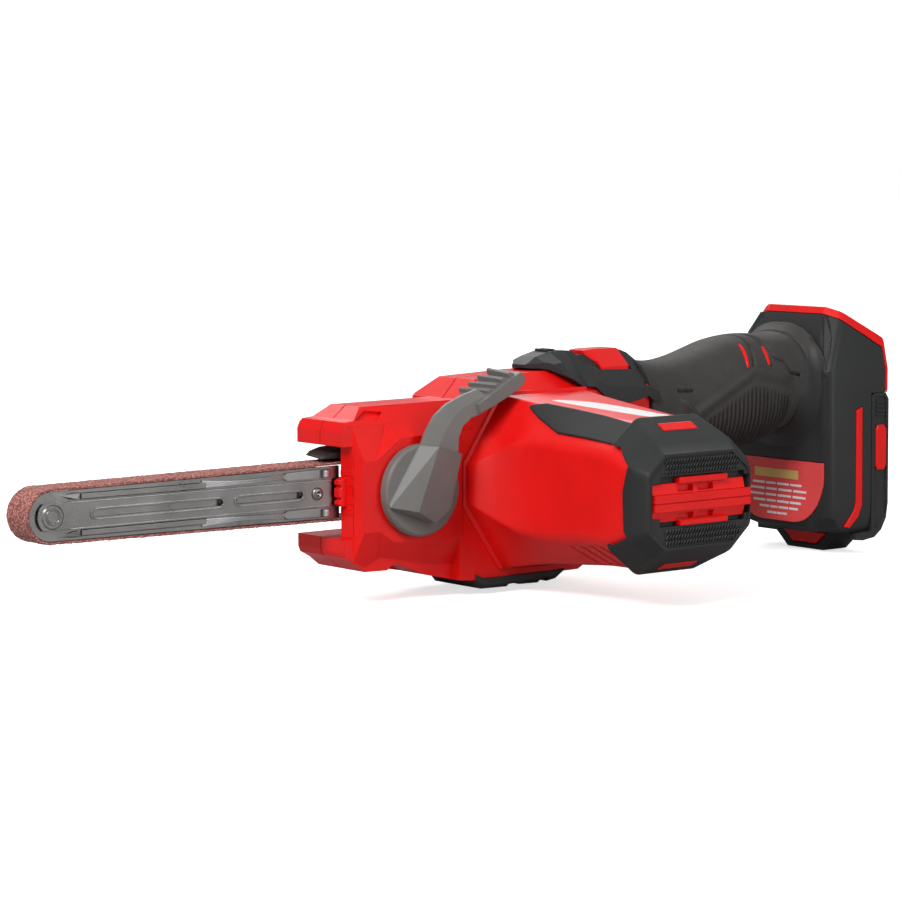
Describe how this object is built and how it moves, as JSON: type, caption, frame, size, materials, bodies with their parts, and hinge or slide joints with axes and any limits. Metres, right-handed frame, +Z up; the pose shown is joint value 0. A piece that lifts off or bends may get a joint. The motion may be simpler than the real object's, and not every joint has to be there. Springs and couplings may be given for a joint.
{
  "type": "handheld belt sander",
  "caption": "Cordless narrow-belt sander with a long arm, cross-mounted motor barrel, tension lever, rear grip and slide-on battery foot.",
  "frame": {"origin": "point on the battery pack's flat back face, in the middle of its width and level with the motor axis", "axes": "+Z up, +X from the belt's tip towards the battery foot and out of its back, -Y along the motor barrel towards its vented cap"},
  "size_m": [0.3633, 0.1226, 0.0932],
  "materials": {
    "red": "satin glass-filled nylon",
    "black": "fine texture",
    "grip": "soft overmould",
    "lever": "satin grey",
    "stamped": "stamped",
    "bright": "bright zinc",
    "belt": "cloth belt with reddish aluminium oxide grit",
    "copper": "enamelled copper winding",
    "board": "circuit board",
    "foil": "cell pouch"
  },
  "bodies": {
    "body": {"arm_guide": "red", "barrel_strap_front": "black", "barrel_strap_rear": "black", "bearing_bracket": "stamped", "belt_deflector": "black", "body_shell_far": "black", "body_shell_near": "black", "bottom_bumper": "black", "cap_inlay_bottom": "red", "cap_inlay_top": "red", "control_board": "board", "end_cap": "black", "foot_front_panel": "red", "foot_roof_bumper": "red", "foot_strip_far": "red", "foot_strip_near": "red", "front_bearing": "bright", "grip_overmould_far": "grip", "grip_overmould_near": "grip", "head_screw_1": "stamped", "head_screw_2": "stamped", "head_screw_3": "stamped", "head_screw_4": "stamped", "head_shell_far": "red", "head_shell_near": "red", "motor_barrel": "red", "rear_bearing": "bright", "rear_bearing_plate": "stamped", "sanding_belt": "belt", "stator": "copper", "switch_body": "black", "terminal_block": "black", "top_cover": "black", "vent_grille": "red"},
    "rotor": {"rotor": "stamped", "rotor_shaft": "bright", "drive_wheel": "stamped", "cooling_fan": "black"},
    "arm": {"arm_channel": "stamped", "arm_centre_plate": "stamped", "arm_far_plate": "stamped", "arm_rear_rivet": "bright", "arm_slide_bar": "stamped", "tip_axle": "bright", "leaf_strip_upper": "bright", "leaf_strip_lower": "bright", "strut_pin_upper": "bright", "strut_pin_lower": "bright", "tension_spring": "bright"},
    "roller": {"tip_roller": "black"},
    "lever": {"tension_lever": "lever", "lever_shaft": "stamped"},
    "switch": {"switch_button": "red"},
    "pack": {"battery_case": "black", "battery_cell_1": "foil", "battery_cell_2": "foil", "battery_cell_3": "foil", "pack_pad_near": "red", "pack_pad_far": "red"},
    "release": {"release_button": "red"}
  },
  "joints": [
    {"name": "rotor_spin", "type": "hinge", "parent": "body", "child": "rotor", "pos_m": [-0.1572, 0, 0], "axis": [0, 1, 0], "continuous": true},
    {"name": "lever_turn", "type": "hinge", "parent": "body", "child": "lever", "pos_m": [-0.2174, 0, 0], "axis": [0, -1, 0], "range_deg": [0, 85]},
    {"name": "arm_slide", "type": "slide", "parent": "body", "child": "arm", "axis": [1, 0, 0], "range_m": [0, 0.004]},
    {"name": "roller_spin", "type": "hinge", "parent": "arm", "child": "roller", "pos_m": [-0.3542, 0, 0], "axis": [0, 1, 0], "continuous": true},
    {"name": "switch_slide", "type": "slide", "parent": "body", "child": "switch", "axis": [-1, 0, 0], "range_m": [0, 0.005]},
    {"name": "pack_slide", "type": "slide", "parent": "body", "child": "pack", "axis": [0, 0, -1], "range_m": [0, 0.06]},
    {"name": "release_press", "type": "slide", "parent": "pack", "child": "release", "axis": [1, 0, 0], "range_m": [0, 0.0015]}
  ],
  "couplings": [
    {"joint": "roller_spin", "follows": "rotor_spin", "ratio": 1.2222},
    {"joint": "arm_slide", "follows": "lever_turn", "m_per_rad": 0.00269}
  ]
}
